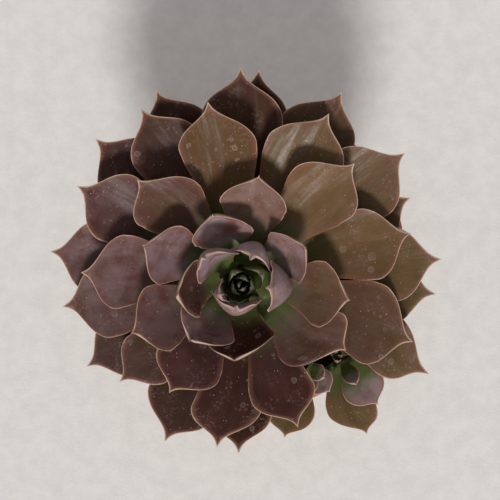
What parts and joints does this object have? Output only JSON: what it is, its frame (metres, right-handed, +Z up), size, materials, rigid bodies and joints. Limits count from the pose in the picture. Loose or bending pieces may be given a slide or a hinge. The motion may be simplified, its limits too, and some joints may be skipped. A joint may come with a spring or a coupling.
{
  "type": "potted succulent",
  "caption": "Rosette succulent with thick spoon-shaped dark leaves ending in sharp points, with small offsets, growing in a round tapered plastic pot that stands on its flat base.",
  "frame": {"origin": "centre of the pot's underside, at the height of its standing face", "axes": "+Z up along the pot's axis, +Y towards the side the rosette's longest leaves reach, +X to the right seen from above with +Y at the top"},
  "size_m": [0.1253, 0.1261, 0.1389],
  "materials": {
    "pot": "satin",
    "soil": "matte",
    "stem": "matte",
    "leaf": "satin",
    "young_leaf": "satin",
    "offset_leaf": "satin"
  },
  "bodies": {
    "root": {"heart": "young_leaf", "leaf_01": "young_leaf", "leaf_02": "young_leaf", "leaf_03": "young_leaf", "leaf_04": "young_leaf", "leaf_05": "young_leaf", "leaf_06": "young_leaf", "leaf_07": "young_leaf", "leaf_08": "young_leaf", "leaf_09": "young_leaf", "leaf_10": "leaf", "leaf_11": "leaf", "leaf_12": "leaf", "leaf_13": "leaf", "leaf_14": "leaf", "leaf_15": "leaf", "leaf_16": "leaf", "leaf_17": "leaf", "leaf_18": "leaf", "leaf_19": "leaf", "leaf_20": "leaf", "leaf_21": "leaf", "leaf_22": "leaf", "leaf_23": "leaf", "leaf_24": "leaf", "leaf_25": "leaf", "leaf_26": "leaf", "leaf_27": "leaf", "leaf_28": "leaf", "leaf_29": "leaf", "leaf_30": "leaf", "leaf_31": "leaf", "leaf_32": "leaf", "leaf_33": "leaf", "leaf_34": "leaf", "leaf_35": "leaf", "leaf_36": "leaf", "leaf_37": "leaf", "leaf_38": "leaf", "leaf_39": "leaf", "leaf_40": "leaf", "leaf_41": "leaf", "leaf_42": "leaf", "leaf_43": "leaf", "leaf_44": "leaf", "offset_a_leaf_1": "offset_leaf", "offset_a_leaf_2": "offset_leaf", "offset_a_leaf_3": "offset_leaf", "offset_a_leaf_4": "offset_leaf", "offset_a_stem": "stem", "offset_b_leaf_1": "offset_leaf", "offset_b_leaf_2": "offset_leaf", "offset_b_leaf_3": "offset_leaf", "offset_b_leaf_4": "offset_leaf", "offset_b_stem": "stem", "pot": "pot", "soil": "soil", "stem": "stem"}
  },
  "joints": []
}
